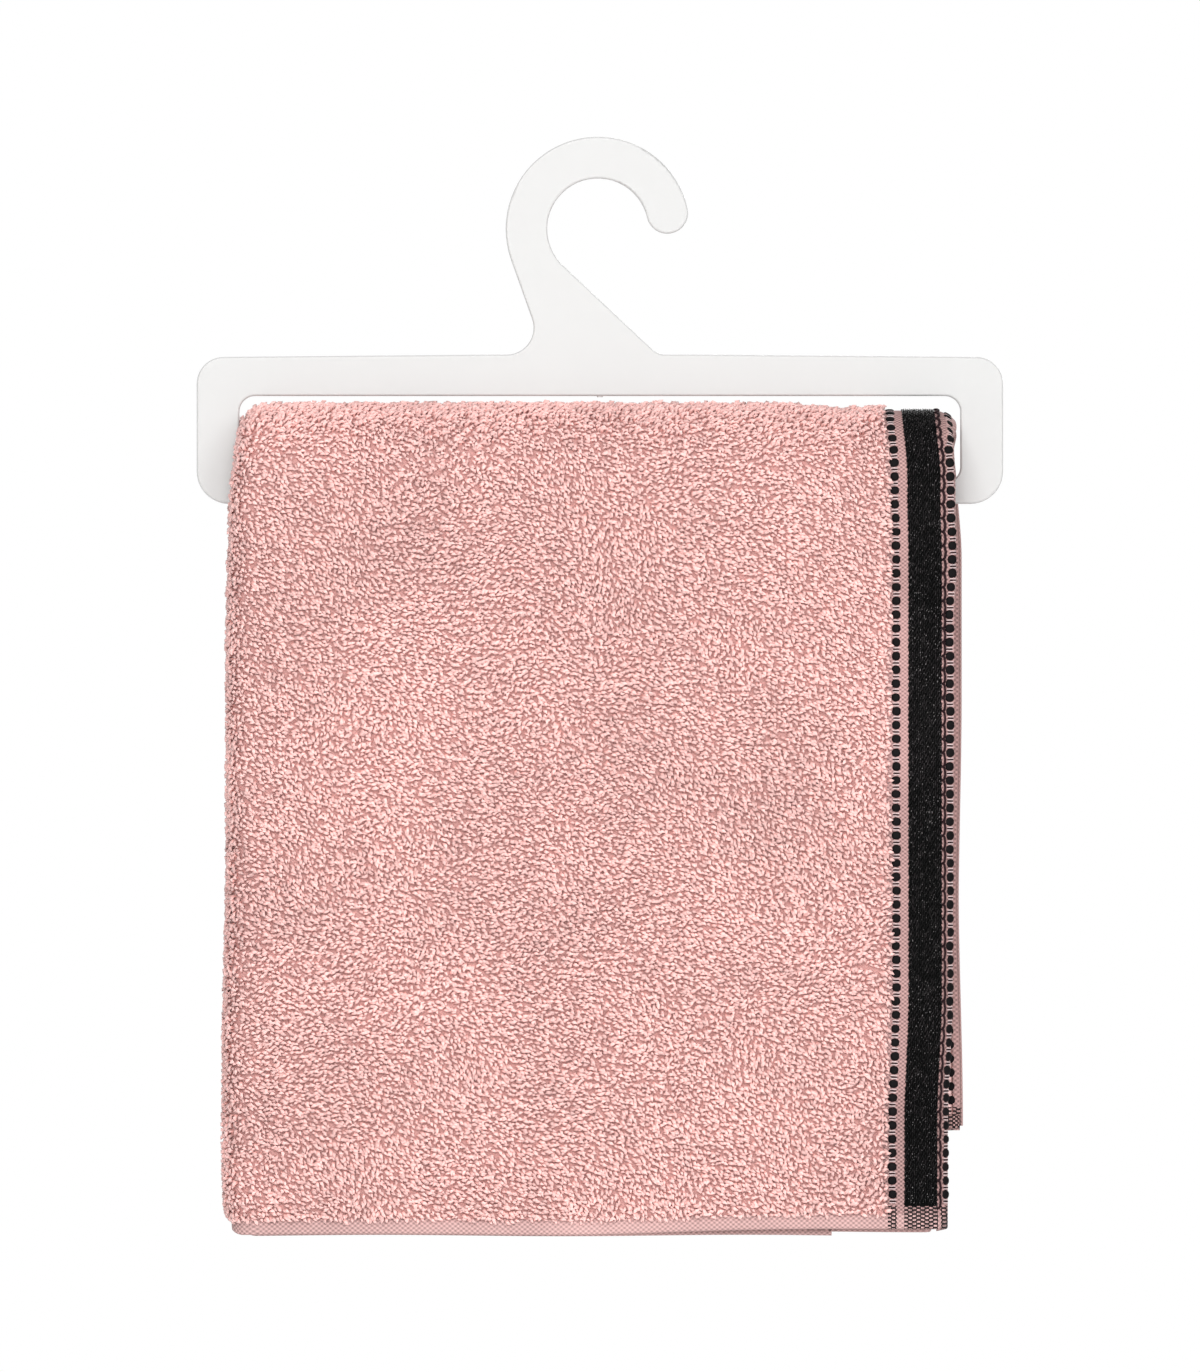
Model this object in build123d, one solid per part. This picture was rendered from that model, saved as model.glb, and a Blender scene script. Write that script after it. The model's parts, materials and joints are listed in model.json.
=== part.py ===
from build123d import *
import math
import os

# A folded bath towel on its flat plastic display hanger.
# Millimetres. The origin is the centre of the rail that the hook hangs on, +Z is up,
# -Y is the front, and the hanger's plate lies in the XZ plane.

# Hanger: one moulding, a hook on a closed rectangular frame
PLATE = 4.0  # thickness of the moulding
EDGE_ROUND = 0.9  # rounding along both faces of the moulding
HOOK_BORE = 21.8  # radius of the rail seat
HOOK_WIDTH = 17.9  # width of the hook's limb
TIP_ANGLE = 13.0  # where the hook ends, above the horizontal
NECK_LEFT_LEAN = 19.6  # the neck's left side, from the vertical
NECK_RIGHT_FALL = 43.2  # the neck's right side, below the horizontal
NECK_LEFT_FILLET = 11.6
NECK_RIGHT_FILLET = 8.6
FRAME_WIDTH = 347.5
FRAME_OFFSET = 0.9  # the frame's middle, to the right of the hook's
LEG_WIDTH = 18.4
BAR_TOP = -54.2  # the top bar's upper edge beside the neck
BAR_DROP = 1.1  # how much lower that edge is at the corners
BAR_BOTTOM = -72.0
RAIL_TOP = -109.1  # the lower bar, which carries the towel
RAIL_BOTTOM = -118.5
OUTER_TOP_RADIUS = 11.6
OUTER_BOTTOM_RADIUS = 14.0
WINDOW_TOP_RADIUS = 6.7
WINDOW_BOTTOM_RADIUS = 6.5
GATE_RADIUS = 1.3  # the moulding's gate mark under the top bar
GATE_REACH = 0.5  # how far it stands below the bar

# Towel: folded along its length into four leaves
CLEAR = 0.3  # between soft pieces, and between cloth and plastic
LEAF_PITCH = 7.3  # one leaf of terry, from the next
CROWN_PITCH = 8.7  # the same over the lower bar, where the leaves lie looser
SPLIT_Z = -113.0  # where the two drops hinge below the crown
FRONT_BOTTOM = -433.2
BACK_BOTTOM = -389.2
LEFT_EDGE = -158.0
CROWN_LEFT = -149.6
RIGHT_EDGE = 152.6  # the front drop's edge, where the towel's end is turned under
INNER_RIGHT = 147.0  # the fold between the two innermost leaves
FREE_END = 102.0  # the towel's other end, on the second leaf
BAND_START = 127.2  # where the terry stops and the woven border begins
BAND_THICK = 1.4
BACK_SHIFT = 1.3  # how much further right the border lies at the back
END_STRIP = 5.2  # plain cloth between the border and the towel's end
TURN_BEND = 1.4  # the bend that turns this strip under, in front
HEM_THICK = 1.6
SIDE_HEM = 5.6  # height of the hem along the towel's long edges
END_HEM = 12.0  # length of the hem at the free end

# Rings of cloth round the rail, from the innermost leaf outwards
LEAF_4, LEAF_3, LEAF_2, LEAF_1 = range(4)
FIRST_Y = PLATE / 2 + CLEAR
FIRST_TOP = RAIL_TOP + 2 * CLEAR  # the cloth bends wider than the bar's rounded edge
OUTER_FOLD_RING = 2
HALF_LEAF = (LEAF_PITCH - CLEAR) / 2
FRONT, BACK = -1, 1


def polar(radius, degrees):
    turn = math.radians(degrees)
    return (radius * math.cos(turn), radius * math.sin(turn))


def box_2d(x0, x1, y0, y1):
    """A rectangle between two pairs of coordinates."""
    return Pos((x0 + x1) / 2, (y0 + y1) / 2) * Rectangle(abs(x1 - x0), abs(y1 - y0))


# ---- hanger ----


def round_corner(shape, x, y, radius):
    """Rounds the one corner of a flat shape that lies nearest to a point."""
    corner = min(shape.vertices(), key=lambda v: math.hypot(v.X - x, v.Y - y))
    return fillet(corner, radius)


def hook_shape():
    """The hook's limb and its neck, down into the top bar."""
    outer = HOOK_BORE + HOOK_WIDTH
    left_angle = 180 + NECK_LEFT_LEAN
    right_angle = 270 - NECK_RIGHT_FALL
    foot = BAR_TOP - BAR_DROP * 2
    left = polar(outer, left_angle)
    right = polar(HOOK_BORE, right_angle)
    left_foot = (left[0] + (left[1] - foot) * math.tan(math.radians(NECK_LEFT_LEAN)), foot)
    right_foot = (right[0] + (right[1] - foot) / math.tan(math.radians(NECK_RIGHT_FALL)), foot)
    tip_out = polar(outer, TIP_ANGLE)
    tip_in = polar(HOOK_BORE, TIP_ANGLE)
    tip_mid = polar(HOOK_BORE + HOOK_WIDTH / 2, TIP_ANGLE)
    down = polar(HOOK_WIDTH / 2, TIP_ANGLE - 90)
    tip_end = (tip_mid[0] + down[0], tip_mid[1] + down[1])
    edges = [
        ThreePointArc(tip_out, polar(outer, (TIP_ANGLE + left_angle) / 2), left),
        Line(left, left_foot),
        Line(left_foot, right_foot),
        Line(right_foot, right),
        ThreePointArc(right, polar(HOOK_BORE, (TIP_ANGLE + right_angle) / 2), tip_in),
        ThreePointArc(tip_in, tip_end, tip_out),
    ]
    return make_face(Curve() + edges)


def frame_shape():
    """The closed rectangle: top bar, two legs and the lower bar, with its window."""
    left = FRAME_OFFSET - FRAME_WIDTH / 2
    right = FRAME_OFFSET + FRAME_WIDTH / 2
    corner_z = BAR_TOP - BAR_DROP
    points = [
        (left, RAIL_BOTTOM),
        (left, corner_z),
        (-HOOK_BORE * 2, BAR_TOP),
        (HOOK_BORE * 2, BAR_TOP),
        (right, corner_z),
        (right, RAIL_BOTTOM),
    ]
    shape = make_face(Polyline(*points, close=True))
    for x in (left, right):
        shape = round_corner(shape, x, corner_z, OUTER_TOP_RADIUS)
        shape = round_corner(shape, x, RAIL_BOTTOM, OUTER_BOTTOM_RADIUS)
    window = box_2d(left + LEG_WIDTH, right - LEG_WIDTH, RAIL_TOP, BAR_BOTTOM)
    for x in (left + LEG_WIDTH, right - LEG_WIDTH):
        window = round_corner(window, x, BAR_BOTTOM, WINDOW_TOP_RADIUS)
        window = round_corner(window, x, RAIL_TOP, WINDOW_BOTTOM_RADIUS)
    return shape - window


def hanger():
    """Hook and frame in one piece, rounded along both faces."""
    shape = hook_shape() + frame_shape()
    neck_left = -(HOOK_BORE + HOOK_WIDTH) * 0.65
    neck_right = HOOK_BORE * 1.2
    shape = round_corner(shape, neck_left, BAR_TOP, NECK_LEFT_FILLET)
    shape = round_corner(shape, neck_right, BAR_TOP, NECK_RIGHT_FILLET)
    body = extrude(Plane.XZ * shape, amount=PLATE / 2, both=True)
    rims = body.faces().sort_by(Axis.Y)[0].edges() + body.faces().sort_by(Axis.Y)[-1].edges()
    body = fillet(rims, EDGE_ROUND)
    gate = Pos(FRAME_OFFSET, 0, BAR_BOTTOM) * Sphere(GATE_RADIUS)
    keep = Pos(FRAME_OFFSET, 0, BAR_BOTTOM) * Box(8, PLATE - 2 * EDGE_ROUND, GATE_REACH * 2)
    return body + (gate & keep)


# ---- towel: flat sections of the drops, seen from above ----


def ring_y(side, ring):
    """Distance of a ring of cloth in front of the plate or behind it."""
    return side * (FIRST_Y + ring * LEAF_PITCH)


def straight(side, ring, x0, x1, half):
    """A leaf's flat run, centred in its ring."""
    middle = ring_y(side, ring + 0.5)
    return box_2d(x0, x1, middle - half, middle + half)


def quarter(side, x, ring, bend, half, toward, which):
    """A quarter of a fold: round a point on a ring, open to one side in X."""
    centre_y = ring_y(side, ring)
    whole = Circle(bend + half)
    if bend > half:
        whole -= Circle(bend - half)
    reach = bend + half + 1
    keep = box_2d(0, toward * reach, 0, side * which * reach)
    return Pos(x, centre_y) * (whole & keep)


def fold_pair(side, x, ring_low, ring_high, half, toward):
    """Both quarters of a fold that joins two rings: low one first."""
    ring = (ring_low + ring_high + 1) / 2
    bend = (ring_high - ring_low) / 2 * LEAF_PITCH
    low = quarter(side, x, ring, bend, half, toward, -1)
    high = quarter(side, x, ring, bend, half, toward, 1)
    return low, high


def fold_lines(side):
    """Where each fold's centre line stands, and where the border begins and ends."""
    shift = BACK_SHIFT if side == BACK else 0
    lines = {"left": LEFT_EDGE + OUTER_FOLD_RING * LEAF_PITCH}
    lines["inner_right"] = INNER_RIGHT - LEAF_PITCH
    lines["band"] = BAND_START + shift
    lines["band_end"] = RIGHT_EDGE + shift - TURN_BEND - HEM_THICK / 2
    return lines


def leaf_sections(side, half):
    """The four runs of cloth of one drop, each with its share of the folds."""
    at = fold_lines(side)
    left_low, left_high = fold_pair(side, at["left"], LEAF_4, LEAF_1, half, -1)
    in_low, in_high = fold_pair(side, at["left"], LEAF_3, LEAF_2, half, -1)
    right_low, right_high = fold_pair(side, at["inner_right"], LEAF_4, LEAF_3, half, 1)
    leaf_1 = straight(side, LEAF_1, at["left"], at["band"], half) + left_high
    leaf_2 = straight(side, LEAF_2, at["left"], FREE_END - END_HEM, half) + in_high
    leaf_3 = straight(side, LEAF_3, at["left"], at["inner_right"], half) + in_low + right_high
    leaf_4 = straight(side, LEAF_4, at["left"], at["inner_right"], half) + left_low + right_low
    return {"leaf_1": leaf_1, "leaf_2": leaf_2, "leaf_3": leaf_3, "leaf_4": leaf_4}


def turned_strip(side, x, thick):
    """The end strip of the front drop: round its bend and a little way back."""
    centre_y = ring_y(side, LEAF_1 + 0.5) - side * TURN_BEND
    ring = Circle(TURN_BEND + thick / 2) - Circle(TURN_BEND - thick / 2)
    reach = TURN_BEND + thick
    bend = Pos(x, centre_y) * (ring & box_2d(0, reach, -reach, reach))
    back = END_STRIP - math.pi * TURN_BEND
    back_y = centre_y - side * TURN_BEND
    return bend + box_2d(x - back, x, back_y - thick / 2, back_y + thick / 2)


def thin_sections(side, thick):
    """The woven parts without pile: the border, the end strip and the free end's hem."""
    at = fold_lines(side)
    border = straight(side, LEAF_1, at["band"], at["band_end"], thick / 2)
    if side == FRONT:
        strip = turned_strip(side, at["band_end"], thick)
    else:
        strip = straight(side, LEAF_1, at["band_end"], at["band_end"] + END_STRIP, thick / 2)
    free = straight(side, LEAF_2, FREE_END - END_HEM, FREE_END, thick / 2)
    return {"border": border, "end_strip": strip, "free_end_hem": free}


def side_hem_section(side):
    """The long edge's hem, which follows the whole folded cloth."""
    runs = list(leaf_sections(side, HEM_THICK / 2).values())
    runs += thin_sections(side, HEM_THICK).values()
    section = runs[0]
    for run in runs[1:]:
        section += run
    return section


def hang(section, bottom, top):
    """Turns a section seen from above into cloth that hangs between two heights."""
    return extrude(Pos(0, 0, bottom) * section, amount=top - bottom)


def drop(name, side, bottom):
    """Every piece of one drop, below the crown."""
    top = SPLIT_Z - CLEAR / 2
    hem_top = bottom + SIDE_HEM
    sections = leaf_sections(side, HALF_LEAF)
    sections.update(thin_sections(side, BAND_THICK))
    pieces = {f"{name}_{part_name}": hang(section, hem_top, top) for part_name, section in sections.items()}
    pieces[f"{name}_side_hem"] = hang(side_hem_section(side), bottom, hem_top)
    return pieces


# ---- towel: the crown over the lower bar, seen from the side ----


def arch(ring, out):
    """The filled outline of one ring: a half round on straight sides, grown by out."""
    radius = FIRST_Y + ring * LEAF_PITCH + out
    centre = FIRST_TOP + ring * CROWN_PITCH - (FIRST_Y + ring * LEAF_PITCH)
    bottom = SPLIT_Z + CLEAR / 2
    return Pos(0, centre) * Circle(radius) + box_2d(-radius, radius, bottom, centre)


def crown_section(ring_in, ring_out, grow_in, grow_out):
    """Cloth between two rings over the bar."""
    bottom = SPLIT_Z + CLEAR / 2
    reach = FIRST_Y + 5 * LEAF_PITCH
    below = box_2d(-reach, reach, bottom - reach * 3, bottom)
    return arch(ring_out, grow_out) - arch(ring_in, grow_in) - below


def over_bar(section, x0, x1):
    """Runs a side section along X between two places."""
    return extrude(Plane.YZ.offset(x0) * section, amount=x1 - x0)


def crown():
    """Every piece of cloth over the lower bar."""
    at = fold_lines(FRONT)
    leaves = {
        "leaf_1": (LEAF_1, CROWN_LEFT, at["band"]),
        "leaf_2": (LEAF_2, CROWN_LEFT + LEAF_PITCH, FREE_END - END_HEM),
        "leaf_3": (LEAF_3, CROWN_LEFT + LEAF_PITCH, INNER_RIGHT),
        "leaf_4": (LEAF_4, CROWN_LEFT, INNER_RIGHT),
    }
    pieces = {}
    for name, (ring, x0, x1) in leaves.items():
        section = crown_section(ring, ring + 1, CLEAR / 2, -CLEAR / 2)
        pieces[f"crown_{name}"] = over_bar(section, x0, x1)
    thin = {
        "border": (LEAF_1, at["band"], at["band_end"]),
        "end_strip": (LEAF_1, at["band_end"], at["band_end"] + END_STRIP),
        "free_end_hem": (LEAF_2, FREE_END - END_HEM, FREE_END),
    }
    for name, (ring, x0, x1) in thin.items():
        section = crown_section(ring + 0.5, ring + 0.5, -BAND_THICK / 2, BAND_THICK / 2)
        pieces[f"crown_{name}"] = over_bar(section, x0, x1)
    return pieces


def main():
    os.makedirs("parts", exist_ok=True)
    pieces = {"hanger_frame": hanger()}
    pieces.update(crown())
    pieces.update(drop("front", FRONT, FRONT_BOTTOM))
    pieces.update(drop("back", BACK, BACK_BOTTOM))
    for name, solid in pieces.items():
        export_step(solid, f"parts/{name}.step")
        print(name, "volume", round(solid.volume), "mm3")


main()
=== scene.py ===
# %% [markdown]
# # A folded bath towel on its plastic hanger
# A towel looks soft because of thousands of small loops of yarn, and because one long cloth is
# folded and hung, not because a block is painted pink. So the lesson goes the way the real thing was
# made: first the fold and the drape as one formula, then the ground cloth, the loops that stand on
# it, the woven border with its beads, and the hems. The hanger keeps its CAD shape.

import json
import math

import bpy
import numpy as np
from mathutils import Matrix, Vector

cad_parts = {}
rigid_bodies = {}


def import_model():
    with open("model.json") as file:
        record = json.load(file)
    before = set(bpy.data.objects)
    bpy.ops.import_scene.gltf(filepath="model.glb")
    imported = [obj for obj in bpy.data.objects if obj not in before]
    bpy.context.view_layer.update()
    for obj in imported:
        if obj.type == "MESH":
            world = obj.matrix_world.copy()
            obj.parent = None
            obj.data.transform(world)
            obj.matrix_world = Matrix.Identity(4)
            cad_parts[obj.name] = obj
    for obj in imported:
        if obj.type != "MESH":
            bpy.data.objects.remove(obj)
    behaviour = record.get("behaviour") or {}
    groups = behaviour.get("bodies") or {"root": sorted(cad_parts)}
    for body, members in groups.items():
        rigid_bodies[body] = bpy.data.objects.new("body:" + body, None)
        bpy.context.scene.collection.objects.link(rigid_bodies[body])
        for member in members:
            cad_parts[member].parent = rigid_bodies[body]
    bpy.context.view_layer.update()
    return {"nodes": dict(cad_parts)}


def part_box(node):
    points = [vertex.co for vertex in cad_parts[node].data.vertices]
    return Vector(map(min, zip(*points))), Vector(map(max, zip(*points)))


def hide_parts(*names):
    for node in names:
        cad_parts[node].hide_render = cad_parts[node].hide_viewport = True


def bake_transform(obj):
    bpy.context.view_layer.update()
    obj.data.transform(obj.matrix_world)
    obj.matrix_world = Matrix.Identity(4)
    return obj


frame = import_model()

# %% [markdown]
# ## Sizes from the frame
# Every leaf of the fold has a box in the frame. The four leaves lie in four rings round the lower
# bar, so two boxes are enough to know each ring, and the rest of the sizes follow.

# %% Sizes of the fold
MM = 0.001
CLEAR = 0.3 * MM  # the gap between two leaves of the frame
FRONT, BACK = -1, 1
SIDE_NAMES = {FRONT: "front", BACK: "back"}


def low(node):
    return np.array(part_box(node)[0])


def high(node):
    return np.array(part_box(node)[1])


first_y = -high("front_leaf_4")[1] - CLEAR / 2
pitch = (-low("front_leaf_1")[1] + CLEAR / 2 - first_y) / 4
crown_pitch = (high("crown_leaf_1")[2] - high("crown_leaf_4")[2]) / 3
first_top = high("crown_leaf_4")[2] + CLEAR / 2 - crown_pitch
left_centre = low("front_leaf_1")[0] + 2 * pitch
inner_right_centre = high("front_leaf_4")[0] - pitch
free_end = high("front_free_end_hem")[0]
band_start = low("front_border")[0]
band_end = high("front_border")[0]
end_strip = high("crown_end_strip")[0] - band_end
hem_height = high("front_side_hem")[2] - low("front_side_hem")[2]
bottom = {side: low(f"{SIDE_NAMES[side]}_side_hem")[2] for side in (FRONT, BACK)}
print(f"leaf pitch {pitch / MM:.2f} mm, crown pitch {crown_pitch / MM:.2f} mm")

# %% [markdown]
# ## The fold
# Seen from above, the towel is a line that runs back and forth: the turned end, the front leaf, the
# wide fold on the left, the innermost leaf, and so on to the free end. A place on the cloth is a
# length along this line. Straight runs and half circles are all it needs.

# %% The runs of the fold
TURN_BEND = 1.4 * MM  # the bend that turns the towel's end under
RIDGE_TURN = 0.13  # how much of that bend is left on the ridge
FOLD_SQUARE = 0.78  # below 1 the wide left fold is squarer than a half circle
RING_4, RING_3, RING_2, RING_1 = 0.5, 1.5, 2.5, 3.5  # the middle of each leaf's ring


def straight_run(x0, x1, ring):
    return {"length": abs(x1 - x0), "x": (x0, x1), "ring": ring}


def bend_run(x, ring, rings, toward, first):
    """A half circle about a ring. toward is the side it bulges to, first the ring side it starts on."""
    return {"length": math.pi * rings * pitch, "x": x, "ring": ring, "rings": rings,
            "toward": toward, "first": first}


RUNS = [
    straight_run(band_end, left_centre, RING_1),
    bend_run(left_centre, 2.0, 1.5, -1, 1),
    straight_run(left_centre, inner_right_centre, RING_4),
    bend_run(inner_right_centre, 1.0, 0.5, 1, -1),
    straight_run(inner_right_centre, left_centre, RING_3),
    bend_run(left_centre, 2.0, 0.5, -1, -1),
    straight_run(left_centre, free_end, RING_2),
]
RUN_STARTS = end_strip + np.cumsum([0.0] + [run["length"] for run in RUNS])
cloth_length = RUN_STARTS[-1]
print(f"the folded cloth is {cloth_length:.3f} m long")


def fold_at(s):
    """X and ring of the cloth at each length s from its turned end, before that end is turned."""
    x = np.full(s.shape, band_end)
    ring = np.full(s.shape, RING_1)
    for start, run in zip(RUN_STARTS, RUNS):
        here = (s >= start) & (s <= start + run["length"])
        share = (s[here] - start) / run["length"]
        if "rings" in run:
            turn = share * math.pi
            power = FOLD_SQUARE if run["rings"] > 1 else 1.0
            cosine = np.sign(np.cos(turn)) * np.abs(np.cos(turn)) ** power
            sine = np.abs(np.sin(turn)) ** power
            ring[here] = run["ring"] + run["first"] * run["rings"] * cosine
            x[here] = run["x"] + run["toward"] * run["rings"] * pitch * sine
        else:
            ring[here] = run["ring"]
            x[here] = run["x"][0] + (run["x"][1] - run["x"][0]) * share
    beyond = s > cloth_length
    x[beyond] = free_end + s[beyond] - cloth_length
    ring[beyond] = RING_2
    return x, ring


# %% [markdown]
# ## The drape
# The second direction runs from the bottom hem (0) up to where the cloth starts to bend (1) and on to
# the ridge over the bar (2). Each ring has its own round, and the rounds lie a little looser on top
# than at the sides. The towel is narrower on the bar than below it, and its edges wander by a few
# millimetres, because nobody hangs a towel perfectly square.

# %% The drape
HALF_WIDTH = 0.15  # about half the folded towel's width


def ease(value, start, stop):
    """0 at start, 1 at stop, smooth between."""
    t = np.clip((value - start) / (stop - start), 0, 1)
    return t * t * (3 - 2 * t)


def wander(x, z, side):
    """Soft waves of the cloth, in metres, that fade out on the bar."""
    wave = np.sin(x * 31 + z * 17 + side) * 0.5 + np.sin(x * 13 - z * 29 + 2.1 * side) * 0.6
    wave += np.sin(x * 57 + z * 43 + 0.7) * 0.25
    return wave * 0.9 * MM * (1 - ease(z, -0.16, -0.09))


def turn_start(v, side):
    """The length at which the towel's end begins to turn under: earlier low down and on the ridge."""
    if side == BACK:
        return 3.2 * MM + (end_strip + 0.8 * MM) * ease(v, 1.2, 1.8)
    low_part = 2.5 * MM * (1 - ease(v, 0.8, 0.95)) + 0.85 * MM * (1 - ease(v, 0.25, 0.83))
    return end_strip - 1.5 * MM + low_part + 5.5 * MM * ease(v, 1.2, 1.8)


def drape(s, v, side):
    """Points of the cloth's middle at lengths s and heights v of one side, as three arrays."""
    s, v = np.broadcast_arrays(np.asarray(s, float), np.asarray(v, float))
    turn_from = turn_start(v, side)
    x, ring = fold_at(np.maximum(s, turn_from))
    beyond = np.maximum(turn_from - s, 0)
    most = 1.0 if side == FRONT else 0.02
    turned = RIDGE_TURN + (most - RIDGE_TURN) * (1 - ease(v, 1.1, 1.75))
    bend = TURN_BEND / turned
    angle = np.minimum(beyond / bend, math.pi)
    x = x + bend * np.sin(angle) - np.maximum(beyond - math.pi * bend, 0)
    ring = ring - bend * (1 - np.cos(angle)) / pitch
    radius = first_y + ring * pitch
    centre = first_top + ring * crown_pitch - radius
    foot = bottom[side] + foot_lift(x, ring, side)
    straight = np.minimum(v, 1)
    arch = np.clip(v - 1, 0, 1) * math.pi / 2
    z = foot + (centre - foot) * straight + radius * np.sin(arch)
    outer = ease(ring, 1.0, 3.5)
    y = side * (radius + wander(x, z, side) * outer) * np.cos(arch)
    z = z - crown_sag(x) * outer * ease(v, 1.0, 1.5)
    x = x + edge_shift(x, z, side)
    return x, y, z


def crown_sag(x):
    """The crown lies lower beside the border and at the left fold."""
    beside_border = 2.3 * ease(x, 0.082, 0.106) - 1.4 * ease(x, 0.112, 0.122)
    return (beside_border + 2.4 * ease(-x, 0.143, 0.156)) * MM


def foot_lift(x, ring, side):
    """How far each leaf's bottom edge hangs above the lowest one."""
    front_leaf = ease(ring, 2.6, 3.4)
    lift = 1.9 * MM + 2.6 * MM * ease(x, -0.03, 0.13) if side == FRONT else 0.7 * MM
    corner = 3.0 * MM * ease(-x, 0.1495, 0.1555) ** 2
    inner = 1.2 * MM + 1.4 * MM * (1 - ease(ring, 1.6, 2.4))
    return front_leaf * lift + (1 - front_leaf) * inner + corner + 0.3 * MM * np.sin(x * 40 + side)


def edge_shift(x, z, side):
    """Sideways drift of the left and right edges with height. left and right are in millimetres."""
    left = 1.6 * ease(z, -0.36, -0.27) + 0.9 * ease(z, -0.17, -0.13)
    left = left + 3.0 * ease(z, -0.125, -0.088) - 4.2
    right = 1.2 - 0.6 * ease(z, -0.143, -0.115) - 2.2 * ease(z, -0.108, -0.077)
    if side == FRONT:
        right = right - 2.0 * ease(z, -0.33, -0.385)
        left = left + 2.2 * ease(-z, 0.417, 0.428)
    else:
        right = right + 1.8 * ease(z, -0.28, -0.385) + 2.2 * ease(z, -0.09, -0.14)
        right = right - 0.6 * ease(z, -0.078, -0.092) - 1.3 * ease(z, -0.2, -0.3)
    left_share = np.clip(-x / HALF_WIDTH, 0, 1.1)
    right_share = np.clip(x / HALF_WIDTH, 0, 1.1)
    return (left * left_share + right * right_share) * MM


def drape_points(s, v, side, out=0.0):
    """Points as rows, raised by out from the cloth's middle towards its outer face."""
    s, v = np.broadcast_arrays(np.asarray(s, float), np.asarray(v, float))
    points = np.stack(drape(s, v, side), axis=-1)
    if np.any(out):
        points = points + face_normal(s, v, side) * np.asarray(out, float)[..., None]
    return points


def face_normal(s, v, side):
    """The outer face's unit normal, from small steps along and up the cloth."""
    step_s, step_v = 0.2 * MM, 0.001
    v_low = np.minimum(v, 2) - step_v
    v_high = np.minimum(v + step_v, 2)
    along = np.stack(drape(s + step_s, v, side), -1) - np.stack(drape(s - step_s, v, side), -1)
    up = np.stack(drape(s, v_high, side), -1) - np.stack(drape(s, v_low, side), -1)
    normal = side * np.cross(along, up)
    return normal / np.linalg.norm(normal, axis=-1, keepdims=True)


outer_radius = first_y + RING_1 * pitch
crown_start = first_top + RING_1 * crown_pitch - outer_radius
straight_height = {side: crown_start - bottom[side] for side in (FRONT, BACK)}
quarter_turn = outer_radius * math.pi / 2


def height_to_v(height, side):
    """The drape's v for a length above the bottom hem, measured up the outer leaf."""
    height = np.asarray(height, float)
    straight = straight_height[side]
    return np.where(height < straight, height / straight, 1 + (height - straight) / quarter_turn)


def v_to_height(v, side):
    return np.where(v < 1, v * straight_height[side], straight_height[side] + (v - 1) * quarter_turn)


half_height = {side: straight_height[side] + quarter_turn for side in (FRONT, BACK)}
print(f"drape path {sum(half_height.values()):.3f} m")

# %% [markdown]
# ## Small mesh helpers
# Almost everything here is a grid of points on the cloth, so one helper turns a grid into a mesh with
# the cloth's own lengths as its UV map, in metres. A weave or a rib then has its real size anywhere.

# %% Mesh helpers


def make_object(name, points, faces, uv=None, smooth=True):
    mesh = bpy.data.meshes.new(name)
    mesh.from_pydata([tuple(p) for p in points], [], faces)
    if uv is not None:
        layer = mesh.uv_layers.new(name="cloth")
        loops = np.empty(len(mesh.loops), int)
        mesh.loops.foreach_get("vertex_index", loops)
        layer.data.foreach_set("uv", np.asarray(uv, np.float32)[loops].ravel())
    mesh.polygons.foreach_set("use_smooth", [smooth] * len(mesh.polygons))
    obj = bpy.data.objects.new(name, mesh)
    bpy.context.scene.collection.objects.link(obj)
    return obj


def grid_faces(rows, columns, flip=False):
    first = (np.arange(rows - 1)[:, None] * columns + np.arange(columns - 1)).ravel()
    quads = np.stack([first, first + 1, first + columns + 1, first + columns], axis=1)
    return (quads[:, ::-1] if flip else quads).tolist()


def cloth_patch(name, lengths, heights, side, out=0.0, inner_face=False):
    """A patch of cloth over lengths s and heights v, with its outer face outwards."""
    s, v = np.meshgrid(lengths, heights)
    raised = np.broadcast_to(np.asarray(out, float), s.shape)
    points = drape_points(s, v, side, raised)
    uv = np.stack([s, v_to_height(v, side)], axis=-1).reshape(-1, 2)
    flip = (side == FRONT) != inner_face
    faces = grid_faces(len(heights), len(lengths), flip)
    return make_object(name, points.reshape(-1, 3), faces, uv)


def lengths_between(start, stop, step):
    """Lengths from start to stop, closer together in the folds."""
    marks = [start, stop]
    for run_start, run in zip(RUN_STARTS, RUNS):
        count = 14 if "rings" in run else max(2, int(run["length"] / step))
        marks += list(np.linspace(run_start, run_start + run["length"], count + 1))
    return np.unique(np.round([m for m in marks if start <= m <= stop], 6))


def heights_up(start, below, above, top=2):
    """Values of v: even steps from start to the crown's foot, then even steps on to top."""
    return np.concatenate([np.linspace(start, 1, below)[:-1], np.linspace(1, top, above)])


def baked(obj):
    """Turns an object's evaluated modifiers into a plain mesh of its own."""
    graph = bpy.context.evaluated_depsgraph_get()
    mesh = bpy.data.meshes.new_from_object(obj.evaluated_get(graph))
    mesh.name = obj.name
    obj.modifiers.clear()
    obj.data = mesh
    return obj


def triangles(obj):
    return sum(len(p.vertices) - 2 for p in obj.data.polygons)


# %% [markdown]
# ## Node helpers
# Every node tree below, for shaders or for geometry, is written with the same few calls: add a node
# with its inputs, do a piece of maths, and wire the result to where it is needed.

# %% Node helpers


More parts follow.
